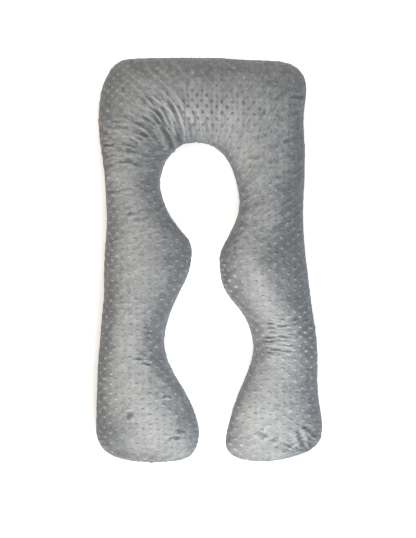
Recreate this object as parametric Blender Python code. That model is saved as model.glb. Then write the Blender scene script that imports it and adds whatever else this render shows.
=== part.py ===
"""Pregnancy pillow: a long stuffed cushion bent into a U, lying on its back.

Two plush panels, a face and an underside, are sewn together along the edge
seam and filled, so the pillow is one closed solid. Metres, +Z up. The head of
the U is at +Y and its two feet are at -Y. The origin is on the surface that
the pillow lies on, under the middle of its box.
"""

import math
from collections import namedtuple

import bmesh
import bpy
import numpy as np

# Driving dimensions, in metres. The outline's own sizes are in the rib table.
MM = 0.001
SEAM_HEIGHT = 0.072

# The seam is drawn in below the sides beside it. The reach is the share of
# the crown's rise over which the side swells out again.
SEAM_DRAW_IN = 0.006
SEAM_DRAW_REACH = 0.16
SEAM_DRAW_LIMIT = 0.1

# Exponents of the rounded sections: 2 is an ellipse and more is fuller.
CROWN_FULLNESS = 2.2
SIDE_FULLNESS = 2.3
UNDERSIDE_FULLNESS = 2.1

# The middle of the underside is pressed flat over this share of the width,
# wherever the crown rises far enough above the seam.
CONTACT_SHARE = 0.58
CONTACT_RISE = 0.088
CONTACT_EASE = 1.6

# Points round each section, and how far the face's are crowded to the seams.
FACE_STEPS = 14
UNDERSIDE_STEPS = 5
SEAM_CROWDING = 0.45

# A fold keeps this share of its depth at its two ends. Folds reach their
# whole depth where the face is this share of the seam's height above it.
FOLD_END_SHARE = 0.35
FOLD_HOLD_HEIGHT = 0.4

PLUSH_GREY = (0.335, 0.345, 0.335, 1.0)
PLUSH_ROUGHNESS = 0.95

# A rib is a slice across the stuffed tube, from its outer edge to the edge
# beside the open middle of the U. Places and the crown's rise above the seam
# are in millimetres, and steps is the number of rings up to the next rib.
Rib = namedtuple("Rib", "outer_x outer_y inner_x inner_y rise steps")
RIBS = (
    # left foot
    Rib(-189, -700, -189, -700, 0, 4),
    Rib(-294, -689, -87, -688, 46, 3),
    Rib(-355, -664, -51, -662, 70, 3),
    Rib(-386, -617, -36, -624, 88, 4),
    Rib(-391, -554, -39, -561, 98, 5),
    Rib(-389, -444, -89, -447, 100, 6),
    # left leg, with its knee pad in the middle
    Rib(-381, -295, -153, -299, 92, 6),
    Rib(-366, -140, -112, -136, 97, 3),
    Rib(-365, -60, -76, -62, 102, 3),
    Rib(-363, 9, -60, 9, 104, 3),
    Rib(-359, 71, -70, 68, 102, 3),
    Rib(-355, 134, -123, 134, 97, 5),
    Rib(-360, 251, -168, 248, 90, 5),
    # left shoulder
    Rib(-370, 345, -149, 341, 90, 12),
    Rib(-380, 421, -127, 370, 95, 6),
    Rib(-382, 507, -101, 392, 104, 8),
    Rib(-366, 607, -77, 401, 108, 8),
    Rib(-312, 681, -52, 404, 106, 8),
    # head
    Rib(-205, 698, -28, 404, 101, 8),
    Rib(-73, 699, -4, 399, 98, 7),
    Rib(44, 697, 20, 387, 98, 5),
    Rib(148, 691, 43, 368, 101, 5),
    Rib(252, 683, 65, 339, 105, 5),
    # right shoulder
    Rib(319, 645, 82, 301, 107, 5),
    Rib(337, 576, 96, 255, 104, 5),
    Rib(327, 500, 104, 206, 98, 5),
    Rib(330, 403, 101, 165, 92, 5),
    Rib(332, 310, 82, 113, 90, 6),
    # right leg, with its knee pad in the middle
    Rib(327, 189, 50, 52, 93, 6),
    Rib(329, 82, 35, -1, 100, 6),
    Rib(342, -50, 53, -103, 103, 6),
    Rib(360, -184, 116, -191, 96, 28),
    Rib(376, -319, 152, -316, 92, 5),
    # right foot
    Rib(376, -444, 110, -440, 98, 5),
    Rib(390, -554, 71, -554, 98, 4),
    Rib(384, -618, 56, -624, 88, 3),
    Rib(347, -658, 67, -664, 70, 3),
    Rib(269, -686, 108, -688, 46, 4),
    Rib(186, -697, 186, -697, 0, 0),
)

# A fold is a soft straight trough in the face panel, in millimetres. One with
# a depth below zero is a ridge.
Fold = namedtuple("Fold", "start_x start_y end_x end_y depth half_width")
FOLDS = (
    # the fan gathered at the left of the neck
    Fold(-222, 470, -140, 385, 5, 11),
    Fold(-201, 504, -128, 410, 9, 11),
    Fold(-183, 528, -114, 420, -4, 9),
    Fold(-150, 552, -96, 408, 7, 8),
    Fold(-118, 560, -82, 420, -3, 8),
    Fold(-92, 560, -78, 430, 6, 7),
    Fold(-65, 540, -62, 440, 4, 7),
    Fold(-48, 524, -46, 436, 4, 7),
    Fold(-30, 504, -28, 448, 3, 7),
    # creases where the right corner is pinched in
    Fold(255, 549, 330, 557, 5, 13),
    # folds at the right foot
    Fold(290, -589, 318, -641, 5, 11),
    Fold(335, -600, 356, -628, 4, 10),
    Fold(159, -582, 186, -599, 4, 12),
    # small dents on the left leg
    Fold(-224, -238, -198, -257, 4, 9),
    Fold(-275, -522, -259, -522, 4, 9),
)

# Wrinkles are level rows of short troughs across a leg where it bends, in
# millimetres.
Wrinkles = namedtuple("Wrinkles", "left right top bottom rows bow depth half_width")
WRINKLES = (
    Wrinkles(-375, -225, 424, 349, 5, 10, 3.5, 6.0),
    Wrinkles(158, 330, -212, -304, 7, -8, 3.5, 4.5),
)


def clear_scene():
    """Remove whatever the file holds, so that only the pillow is left."""
    for item in list(bpy.data.objects):
        bpy.data.objects.remove(item, do_unlink=True)


def closed_spline(knots):
    """Return a function that reads a smooth closed curve through the knots.

    It is the periodic cubic spline, read at a knot's number or between two.
    """
    count = len(knots)
    unit = np.eye(count)
    system = 4 * unit + np.roll(unit, 1, axis=0) + np.roll(unit, -1, axis=0)
    chords = np.roll(knots, -1, axis=0) - np.roll(knots, 1, axis=0)
    slopes = np.linalg.solve(system, 3 * chords)

    def read(place):
        first = math.floor(place)
        t = place - first
        start = first % count
        end = (start + 1) % count
        return (
            (2 * t**3 - 3 * t**2 + 1) * knots[start]
            + (t**3 - 2 * t**2 + t) * slopes[start]
            + (3 * t**2 - 2 * t**3) * knots[end]
            + (t**3 - t**2) * slopes[end]
        )

    return read


def rib_reader():
    """Return a function giving outer edge, inner edge and rise at any rib number.

    The outline is one closed curve, out along the outer edge and back along
    the inner one. The rise turns negative on the way back, so that it grows
    from nothing at each foot as smoothly as the outline does.
    """
    out = [(rib.outer_x, rib.outer_y, rib.rise) for rib in RIBS]
    back = [(rib.inner_x, rib.inner_y, -rib.rise) for rib in RIBS[-2:0:-1]]
    outline = closed_spline(np.array(out + back, dtype=float) * MM)
    total = len(out) + len(back)

    def read(number):
        outer = outline(number)
        inner = outline(total - number)
        return outer[:2], inner[:2], outer[2]

    return read


def rib_numbers():
    """Return the number of each ring's rib, the two foot ends left out."""
    numbers = [
        index + step / rib.steps
        for index, rib in enumerate(RIBS[:-1])
        for step in range(rib.steps)
    ]
    return numbers[1:]


def face_profile():
    """Return (across, lift) from the outer seam over the face to the inner one.

    Across runs from 1 to -1 and lift is the height as a share of the rise.
    """
    points = [(1.0, 0.0)]
    for step in range(1, FACE_STEPS):
        turn = step / FACE_STEPS
        turn -= SEAM_CROWDING * math.sin(2 * math.pi * turn) / (2 * math.pi)
        angle = math.pi * turn
        across = math.copysign(abs(math.cos(angle)) ** (2 / SIDE_FULLNESS), math.cos(angle))
        points.append((across, math.sin(angle) ** (2 / CROWN_FULLNESS)))
    return points + [(-1.0, 0.0)]


def underside_profile():
    """Return (across, depth) from the inner seam under the pillow to the outer one.

    Depth is a share of the seam's height: 1 all along the flat middle, and
    round up to the seam at both sides. The seams' own points are left out.
    """
    points = []
    for step in range(1, UNDERSIDE_STEPS + 1):
        angle = 0.5 * math.pi * step / UNDERSIDE_STEPS
        outward = max(0.0, math.cos(angle)) ** (2 / UNDERSIDE_FULLNESS)
        depth = math.sin(angle) ** (2 / UNDERSIDE_FULLNESS)
        points.append((-CONTACT_SHARE - (1 - CONTACT_SHARE) * outward, depth))
    mirrored = [(-across, depth) for across, depth in reversed(points)]
    return points + [(0.0, 1.0)] + mirrored


def drawn_in(profile, width):
    """Return the profile with both its seams pulled in and its widest part at 1."""
    share = min(SEAM_DRAW_IN / width, SEAM_DRAW_LIMIT)
    pulled = []
    for across, level in profile:
        pull = (SEAM_DRAW_REACH / (SEAM_DRAW_REACH + level)) ** 2
        pulled.append((across * (1 - share * pull), level))
    widest = max(across for across, level in pulled)
    return [(across / widest, level) for across, level in pulled]


def ring_points(outer, inner, rise):
    """Return one closed ring of points round the tube, starting at the outer seam."""
    middle = (outer + inner) / 2
    half = (outer - inner) / 2
    face = face_profile()
    profile = drawn_in(face + underside_profile(), float(np.hypot(*half)))
    press = 1 - (1 - min(1.0, rise / CONTACT_RISE)) ** CONTACT_EASE
    ring = []
    for place, (across, level) in enumerate(profile):
        x, y = middle + half * across
        drop = SEAM_HEIGHT * press * level
        height = rise * level if place < len(face) else -drop
        ring.append((x, y, SEAM_HEIGHT + height))
    return ring


def trough(x, y, fold):
    """Return how deep a fold presses the face at a place, in metres."""
    start = np.array((fold.start_x, fold.start_y)) * MM
    end = np.array((fold.end_x, fold.end_y)) * MM
    run = end - start
    along = float(np.dot(np.array((x, y)) - start, run) / np.dot(run, run))
    inside = min(1.0, max(0.0, along))
    off = float(np.hypot(*(np.array((x, y)) - start - run * inside)))
    taper = FOLD_END_SHARE + (1 - FOLD_END_SHARE) * math.sin(math.pi * inside)
    return fold.depth * MM * taper * math.exp(-((off / (fold.half_width * MM)) ** 2))


def wrinkle_troughs(x, y, group):
    """Return how deep a group of level wrinkles presses the face, in metres."""
    share = (x / MM - group.left) / (group.right - group.left)
    if not 0 < share < 1:
        return 0.0
    fade = math.sin(math.pi * share)
    deep = 0.0
    for row in range(group.rows):
        level = group.top + (group.bottom - group.top) * row / (group.rows - 1)
        level += group.bow * fade
        off = (y / MM - level) / group.half_width
        deep += group.depth * MM * fade * math.exp(-(off**2))
    return deep


def press_face(mesh):
    """Press the folds and wrinkles into the face panel along its normals."""
    mesh.normal_update()
    moves = []
    for vertex in mesh.verts:
        height = (vertex.co.z - SEAM_HEIGHT) / SEAM_HEIGHT
        if height <= 0:
            continue
        hold = min(1.0, height / FOLD_HOLD_HEIGHT)
        deep = sum(trough(vertex.co.x, vertex.co.y, fold) for fold in FOLDS)
        deep += sum(wrinkle_troughs(vertex.co.x, vertex.co.y, group) for group in WRINKLES)
        moves.append((vertex, vertex.normal * (deep * hold)))
    for vertex, move in moves:
        vertex.co -= move


def centre_on_origin(mesh):
    """Slide the pillow so that the origin lies under the middle of its box."""
    places = np.array([vertex.co for vertex in mesh.verts])
    low = places.min(axis=0)
    high = places.max(axis=0)
    for vertex in mesh.verts:
        vertex.co.x -= (low[0] + high[0]) / 2
        vertex.co.y -= (low[1] + high[1]) / 2


def build_pillow():
    """Loft the ribs into one closed solid and press its folds in."""
    read = rib_reader()
    mesh = bmesh.new()
    rings = []
    for number in rib_numbers():
        outer, inner, rise = read(number)
        rings.append([mesh.verts.new(point) for point in ring_points(outer, inner, rise)])
    for ring, following in zip(rings, rings[1:]):
        for side in range(len(ring)):
            beside = (side + 1) % len(ring)
            mesh.faces.new((ring[side], ring[beside], following[beside], following[side]))
    for rib, ring in ((RIBS[0], rings[0]), (RIBS[-1], rings[-1])):
        tip = mesh.verts.new((rib.outer_x * MM, rib.outer_y * MM, SEAM_HEIGHT))
        for side in range(len(ring)):
            mesh.faces.new((tip, ring[side], ring[(side + 1) % len(ring)]))
    bmesh.ops.recalc_face_normals(mesh, faces=mesh.faces)
    press_face(mesh)
    centre_on_origin(mesh)
    bmesh.ops.triangulate(mesh, faces=mesh.faces)
    data = bpy.data.meshes.new("pillow")
    mesh.to_mesh(data)
    mesh.free()
    data.shade_smooth()
    return data


def plush_material():
    """Return the grey plush of the cover."""
    material = bpy.data.materials.new("plush")
    material.use_nodes = True
    shader = material.node_tree.nodes["Principled BSDF"]
    shader.inputs["Base Color"].default_value = PLUSH_GREY
    shader.inputs["Roughness"].default_value = PLUSH_ROUGHNESS
    shader.inputs["Metallic"].default_value = 0.0
    material.diffuse_color = PLUSH_GREY
    return material


def main():
    clear_scene()
    collection = bpy.data.collections.new("pregnancy_pillow")
    bpy.context.scene.collection.children.link(collection)
    pillow = bpy.data.objects.new("pillow", build_pillow())
    pillow.data.materials.append(plush_material())
    collection.objects.link(pillow)
    triangles = len(pillow.data.polygons)
    size = ", ".join(f"{side:.3f}" for side in pillow.dimensions)
    print(f"pillow: {triangles} triangles, {size} m")


main()
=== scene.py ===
# %% [markdown]
# # A pregnancy pillow in dimple-dot plush
# The real pillow is a long stuffed tube, bent into a U and covered in a soft
# plush that has small raised dots. It lies on its back and we look straight
# down on it. The construction model is loaded first. It fixes the size and
# the place of everything that is made below.

# %% Load the frame
import math
from collections import namedtuple

import bmesh
import bpy
import numpy as np
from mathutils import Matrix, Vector
from mathutils.bvhtree import BVHTree


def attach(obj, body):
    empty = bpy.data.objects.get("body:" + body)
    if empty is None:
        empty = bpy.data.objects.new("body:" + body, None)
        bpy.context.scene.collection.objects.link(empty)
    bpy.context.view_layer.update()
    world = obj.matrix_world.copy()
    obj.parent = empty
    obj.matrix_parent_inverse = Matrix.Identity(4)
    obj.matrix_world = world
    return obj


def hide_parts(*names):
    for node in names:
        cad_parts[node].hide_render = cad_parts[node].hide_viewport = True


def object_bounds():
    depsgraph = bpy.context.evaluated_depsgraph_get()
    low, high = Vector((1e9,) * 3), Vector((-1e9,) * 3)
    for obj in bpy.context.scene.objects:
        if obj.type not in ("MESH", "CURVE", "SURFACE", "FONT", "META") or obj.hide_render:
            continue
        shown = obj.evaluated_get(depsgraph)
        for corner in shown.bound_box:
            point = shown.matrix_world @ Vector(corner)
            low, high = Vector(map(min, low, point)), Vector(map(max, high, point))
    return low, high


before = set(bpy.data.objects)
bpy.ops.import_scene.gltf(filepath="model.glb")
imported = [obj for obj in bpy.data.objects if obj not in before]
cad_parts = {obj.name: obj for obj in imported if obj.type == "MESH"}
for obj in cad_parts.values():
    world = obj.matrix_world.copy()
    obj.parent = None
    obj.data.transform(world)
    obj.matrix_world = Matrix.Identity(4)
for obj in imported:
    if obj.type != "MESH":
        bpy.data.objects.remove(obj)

cad_low, cad_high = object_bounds()
print("construction box in metres:", [round(side, 4) for side in cad_high - cad_low])

# %% [markdown]
# ## The camera
# The photograph looks straight down, with no visible perspective, so the
# camera hangs high above the pillow with a long lens. One pixel of the picture
# is 3.458 mm at the height of the edge seam, where the outline lies.

# %% Camera
MM = 0.001
TINY = 1e-6
SEAM_HEIGHT = 0.072
IMAGE_HEIGHT_PIXELS = 538
PIXEL = 3.458 * MM
CAMERA_HEIGHT = 4.0
VIEW_CENTRE = (-0.0040, -0.0323)
SENSOR = 36.0


def hang_camera():
    """Point a camera straight down, framed as the photograph is."""
    data = bpy.data.cameras.new("camera")
    data.sensor_width = SENSOR
    data.lens = SENSOR * (CAMERA_HEIGHT - SEAM_HEIGHT) / (IMAGE_HEIGHT_PIXELS * PIXEL)
    data.clip_end = 20.0
    camera = bpy.data.objects.new("camera", data)
    camera.location = (*VIEW_CENTRE, CAMERA_HEIGHT)
    bpy.context.scene.collection.objects.link(camera)
    bpy.context.scene.camera = camera
    return camera


camera = hang_camera()
print("lens in mm:", round(camera.data.lens, 2))

# %% [markdown]
# ## The ribs of the cushion
# A stuffed tube is easiest to describe as slices across it, like the ribs of
# a boat. Each row gives the two ends of a rib in plan, on the outer edge and
# on the edge beside the open middle, and how far the crown rises above the
# seam, all in millimetres. These are the same ribs as in the construction
# model, so the cover fits it. Only the number of rings up to the next rib is
# finer.

# %% Rib table
Rib = namedtuple("Rib", "outer_x outer_y inner_x inner_y rise rings")
RIBS = (
    # left foot
    Rib(-189, -700, -189, -700, 0, 6),
    Rib(-294, -689, -87, -688, 46, 5),
    Rib(-355, -664, -51, -662, 70, 6),
    Rib(-386, -617, -36, -624, 88, 8),
    Rib(-391, -554, -39, -561, 98, 13),
    Rib(-389, -444, -89, -447, 100, 18),
    # left leg, with its knee pad in the middle
    Rib(-381, -295, -153, -299, 92, 18),
    Rib(-366, -140, -112, -136, 97, 9),
    Rib(-365, -60, -76, -62, 102, 8),
    Rib(-363, 9, -60, 9, 104, 7),
    Rib(-359, 71, -70, 68, 102, 8),
    Rib(-355, 134, -123, 134, 97, 14),
    Rib(-360, 251, -168, 248, 90, 14),
    # left shoulder
    Rib(-370, 345, -149, 341, 90, 14),
    Rib(-380, 421, -127, 370, 95, 12),
    Rib(-382, 507, -101, 392, 104, 14),
    Rib(-366, 607, -77, 401, 108, 12),
    Rib(-312, 681, -52, 404, 106, 14),
    # head
    Rib(-205, 698, -28, 404, 101, 16),
    Rib(-73, 699, -4, 399, 98, 14),
    Rib(44, 697, 20, 387, 98, 12),
    Rib(148, 691, 43, 368, 101, 12),
    Rib(252, 683, 65, 339, 105, 9),
    # right shoulder
    Rib(319, 645, 82, 301, 107, 9),
    Rib(337, 576, 96, 255, 104, 9),
    Rib(327, 500, 104, 206, 98, 12),
    Rib(330, 403, 101, 165, 92, 12),
    Rib(332, 310, 82, 113, 90, 13),
    # right leg, with its knee pad in the middle
    Rib(327, 189, 50, 52, 93, 11),
    Rib(329, 82, 35, -1, 100, 15),
    Rib(342, -50, 53, -103, 103, 16),
    Rib(360, -184, 116, -191, 96, 26),
    Rib(376, -319, 152, -316, 92, 16),
    # right foot
    Rib(376, -444, 110, -440, 98, 14),
    Rib(390, -554, 71, -554, 98, 8),
    Rib(384, -618, 56, -624, 88, 6),
    Rib(347, -658, 67, -664, 70, 6),
    Rib(269, -686, 108, -688, 46, 6),
    Rib(186, -697, 186, -697, 0, 0),
)
print("ribs:", len(RIBS))

# %% [markdown]
# ## A smooth line through the ribs' ends
# The outline runs through the ribs' ends as one smooth closed curve. A
# periodic cubic spline does that: it solves for the slope at each point so
# that the bend never jumps. The crown's rise goes through the same spline,
# negative on the way back, so it starts from nothing at each foot in the same
# rounded way as the outline.

# %% Read the outline anywhere
def closed_spline(knots):
    """Return a function that reads a smooth closed curve at an array of places."""
    count = len(knots)
    unit = np.eye(count)
    system = 4 * unit + np.roll(unit, 1, axis=0) + np.roll(unit, -1, axis=0)
    chords = np.roll(knots, -1, axis=0) - np.roll(knots, 1, axis=0)
    slopes = np.linalg.solve(system, 3 * chords)

    def read(places):
        first = np.floor(places).astype(int)
        t = (places - first)[:, None]
        start = first % count
        end = (start + 1) % count
        return (
            (2 * t**3 - 3 * t**2 + 1) * knots[start]
            + (t**3 - 2 * t**2 + t) * slopes[start]
            + (3 * t**2 - 2 * t**3) * knots[end]
            + (t**3 - t**2) * slopes[end]
        )

    return read


def read_ribs(numbers):
    """Return outer edge, inner edge and rise at an array of rib numbers, in metres."""
    out = [(rib.outer_x, rib.outer_y, rib.rise) for rib in RIBS]
    back = [(rib.inner_x, rib.inner_y, -rib.rise) for rib in RIBS[-2:0:-1]]
    outline = closed_spline(np.array(out + back, dtype=float) * MM)
    outer = outline(numbers)
    inner = outline(len(out) + len(back) - numbers)
    return outer[:, :2], inner[:, :2], outer[:, 2]


steps = [index + ring / rib.rings for index, rib in enumerate(RIBS[:-1]) for ring in range(rib.rings)]
ring_numbers = np.array(steps + [len(RIBS) - 1.0])
outer_edge, inner_edge, rise = read_ribs(ring_numbers)
half_width = np.maximum(np.hypot(*(outer_edge - inner_edge).T) / 2, TINY)
print("rings:", len(ring_numbers), " widest:", round(2 * half_width.max(), 3), "m")

# %% [markdown]
# ## The section of the tube
# Across each rib the face is a full rounded arch from seam to seam, and the
# underside is pressed flat in the middle where it rests. The seam itself is
# drawn in a little below the sides beside it, as the thread pulls it in.

# %% Section profile
SEAM_DRAW_IN = 6 * MM
SEAM_DRAW_REACH = 0.16
SEAM_DRAW_LIMIT = 0.1
CROWN_FULLNESS = 2.2
SIDE_FULLNESS = 2.3
UNDERSIDE_FULLNESS = 2.1
CONTACT_SHARE = 0.58
CONTACT_RISE = 0.088
CONTACT_EASE = 1.6
CONTACT_LIFT = 1.5 * MM
FACE_STEPS = 30
UNDERSIDE_STEPS = 7
MIDDLE_STEPS = 4
SEAM_CROWDING = 0.30


def face_profile():
    """Return across and lift over the face, from the outer seam to the inner one."""
    turn = np.arange(FACE_STEPS + 1) / FACE_STEPS
    turn = turn - SEAM_CROWDING * np.sin(2 * math.pi * turn) / (2 * math.pi)
    cosine = np.cos(math.pi * turn)
    sine = np.clip(np.sin(math.pi * turn), 0, 1)
    across = np.sign(cosine) * np.abs(cosine) ** (2 / SIDE_FULLNESS)
    return across, sine ** (2 / CROWN_FULLNESS)


def underside_profile():
    """Return across and depth under the pillow, the seams' own points left out."""
    angle = 0.5 * math.pi * np.arange(1, UNDERSIDE_STEPS + 1) / UNDERSIDE_STEPS
    outward = np.clip(np.cos(angle), 0, 1) ** (2 / UNDERSIDE_FULLNESS)
    side = CONTACT_SHARE + (1 - CONTACT_SHARE) * outward
    depth = np.sin(angle) ** (2 / UNDERSIDE_FULLNESS)
    middle = CONTACT_SHARE * (1 - 2 * np.arange(1, MIDDLE_STEPS) / MIDDLE_STEPS)
    across = np.concatenate((-side, -middle, side[::-1]))
    return across, np.concatenate((depth, np.ones(MIDDLE_STEPS - 1), depth[::-1]))


def ring_grid():
    """Return the cover's points, as rings by places round the ring."""
    face_across, lift = face_profile()
    under_across, depth = underside_profile()
    across = np.concatenate((face_across, under_across))
    pull = (SEAM_DRAW_REACH / (SEAM_DRAW_REACH + np.concatenate((lift, depth)))) ** 2
    share = np.minimum(SEAM_DRAW_IN / half_width, SEAM_DRAW_LIMIT)
    reach = across * (1 - share[:, None] * pull)
    reach = reach / reach.max(axis=1, keepdims=True)
    middle = (outer_edge + inner_edge) / 2
    half = (outer_edge - inner_edge) / 2
    plan = middle[:, None, :] + half[:, None, :] * reach[:, :, None]
    press = 1 - (1 - np.clip(rise / CONTACT_RISE, 0, 1)) ** CONTACT_EASE
    face_z = SEAM_HEIGHT + rise[:, None] * lift
    under_z = SEAM_HEIGHT - (SEAM_HEIGHT - CONTACT_LIFT) * press[:, None] * depth
    return np.concatenate((plan, np.concatenate((face_z, under_z), axis=1)[..., None]), axis=2)


grid = ring_grid()
around = grid.shape[1]
own_middle = (grid.min(axis=(0, 1)) + grid.max(axis=(0, 1))) / 2
cad_middle = (np.array(cad_low) + np.array(cad_high)) / 2
centring = (cad_middle - own_middle) * np.array((1, 1, 0))
grid = grid + centring
print("points round each ring:", around, " moved to the frame's middle by", np.round(centring, 4))

# %% [markdown]
# ## The flat pattern
# Plush comes off the roll flat, with its dots in even rows. To lay those rows
# on the stuffed pillow, every point of the cover also gets its place on the
# flat pattern, as a UV map in metres. Along the tube that is its place in
# plan, and across it is the distance walked over the curve from the crown.
# The legs of the flat pattern stand further apart than those of the stuffed
# pillow, which is why the dots crowd together at the neck. A few tucks, given
# in millimetres, draw the rows together where the plush is gathered.

# %% Flat pattern
LEG_SPREAD = 0.080
NECK_HALF_WIDTH = 0.22
HEAD_START = 0.33
HEAD_BLEND = 0.12
HEAD_SHRINK = 0.12
UNDERSIDE_OFFSET = 2.0
LEG_SIDE_STEEPNESS = 6
LATTICE_SIZE = 256
Tuck = namedtuple("Tuck", "x y reach share")
TUCKS = (
    Tuck(-300, 610, 210, 0.30),
    Tuck(260, 420, 160, 0.15),
    Tuck(-290, 380, 140, 0.15),
    Tuck(260, -250, 120, 0.12),
)
SWAY = 7 * MM
SWAY_REACH = 0.13


def smooth_step(value):
    """Return 0 below 0, 1 above 1 and a soft S between."""
    clipped = np.clip(value, 0, 1)
    return clipped * clipped * (3 - 2 * clipped)


def value_noise(across, up, seed):
    """Return smooth random values from -1 to 1 at places on a lattice."""
    lattice = np.random.default_rng(seed).uniform(-1, 1, (LATTICE_SIZE, LATTICE_SIZE))
    column = np.floor(across).astype(int)
    row = np.floor(up).astype(int)
    right = smooth_step(across - column)
    above = smooth_step(up - row)

    def corner(columns_on, rows_on):
        return lattice[(column + columns_on) % LATTICE_SIZE, (row + rows_on) % LATTICE_SIZE]

    low = corner(0, 0) * (1 - right) + corner(1, 0) * right
    high = corner(0, 1) * (1 - right) + corner(1, 1) * right
    return low * (1 - above) + high * above


def walked_across(rows):
    """Return the distance walked along each row from its first point."""
    lengths = np.linalg.norm(np.diff(rows, axis=1), axis=2)
    return np.concatenate((np.zeros((len(rows), 1)), np.cumsum(lengths, axis=1)), axis=1)


def spread_legs(flat):
    """Move the legs of the flat pattern apart and shrink its head to suit."""
    x, y = flat[..., 0], flat[..., 1]
    head = smooth_step((y - HEAD_START) / HEAD_BLEND)
    leg_side = np.clip(LEG_SIDE_STEEPNESS * x / NECK_HALF_WIDTH, -1, 1)
    head_side = np.sin(0.5 * math.pi * np.clip(x / NECK_HALF_WIDTH, -1, 1))
    side = leg_side * (1 - head) + head_side * head
    shorter = HEAD_SHRINK * np.clip(y - HEAD_START, 0, None)
    for tuck in TUCKS:
        away = ((x - tuck.x * MM) ** 2 + (y - tuck.y * MM) ** 2) / (tuck.reach * MM) ** 2
        share = tuck.share * np.exp(-away)
        x = x + share * (x - tuck.x * MM)
        y = y + share * (y - tuck.y * MM)
    sway = SWAY * value_noise(x / SWAY_REACH, y / SWAY_REACH, seed=41)
    rock = SWAY * value_noise(x / SWAY_REACH, y / SWAY_REACH, seed=42)
    return np.stack((x + LEG_SPREAD * side + sway, y - shorter + rock), axis=-1)


def flat_place(offsets):
    """Return the flat pattern's place for distances walked outward from the crown."""
    middle = (outer_edge + inner_edge) / 2 + centring[:2]
    line = (outer_edge - inner_edge) / (2 * half_width[:, None])
    return spread_legs(middle[:, None] + line[:, None] * offsets[..., None])


face_walk = walked_across(grid[:, :FACE_STEPS + 1])
under_walk = walked_across(np.concatenate((grid[:, FACE_STEPS:], grid[:, :1]), axis=1))
face_outward = face_walk[:, -1:] / 2 - face_walk
under_outward = under_walk - under_walk[:, -1:] / 2
face_flat = flat_place(face_outward)
under_flat = flat_place(under_outward) + np.array((UNDERSIDE_OFFSET, 0.0))
tube_middle = grid[:, (0, FACE_STEPS)].mean(axis=1)
along = np.concatenate(([0.0], np.cumsum(np.linalg.norm(np.diff(tube_middle, axis=0), axis=1))))
print("tube length in metres:", round(along[-1], 3), " widest face:", round(face_walk.max(), 3))

# %% [markdown]
# ## The cover as a mesh
# The rings become one closed mesh of four-sided faces. The first and the last
# ring have no width, so merging doubles turns each into the tip of a foot.
# More is stored for later: the flat pattern, the place along and across the
# tube, the way across it, the distance to the seam, and the spare length of
# plush, which is most where the tube bends or is gathered. The places along
# the tube are tilted and made to wander, so that what follows them isn't stiff.

# %% Build the cover
TILT_AT_RIB = (0, 5, 8, 12, 14, 17, 21, 23, 25, 26, 27, 28, 30, 38)
TILT = (0.0, 0.1, 0.20, 0.15, -0.05, 0.0, 0.0, -0.15, -0.30, -0.32, -0.28, -0.15, 0.0, 0.0)
WANDER = 30 * MM
WANDER_ALONG = 0.16
WANDER_ACROSS = 0.14
SPARE_AT_RIB = (0, 6, 12, 15, 19, 24, 28, 33, 38)
SPARE_SHARE = (0.02, 0.03, 0.05, 0.06, 0.03, 0.04, 0.03, 0.06, 0.03)


def corner_values(face_values, under_values):
    """Return one value for each corner of each face, with a jump allowed at the seams."""
    start = np.concatenate((face_values[:, :-1], under_values[:, :-1]), axis=1)
    end = np.concatenate((face_values[:, 1:], under_values[:, 1:]), axis=1)
    corners = np.stack((start[:-1], end[:-1], end[1:], start[1:]), axis=2)
    return corners.reshape(-1, face_values.shape[2]).astype(np.float32)


def tube_place(outward):
    """Return places along and across the tube, along being tilted where the ripples lean."""
    tilt = np.interp(ring_numbers, TILT_AT_RIB, TILT)[:, None]
    level = np.broadcast_to(along[:, None], outward.shape)
    wander = WANDER * value_noise(level / WANDER_ALONG, outward / WANDER_ACROSS, seed=51)
    return np.stack((level + tilt * outward + wander, outward), axis=-1)


def spare_length():
    """Return how far each ring moves when the spare length is drawn out along the tube."""
    share = np.interp(ring_numbers, SPARE_AT_RIB, SPARE_SHARE)
    steps = np.diff(tube_middle, axis=0) * share[1:, None]
    return np.concatenate((np.zeros((1, 3)), np.cumsum(steps, axis=0)))


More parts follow.
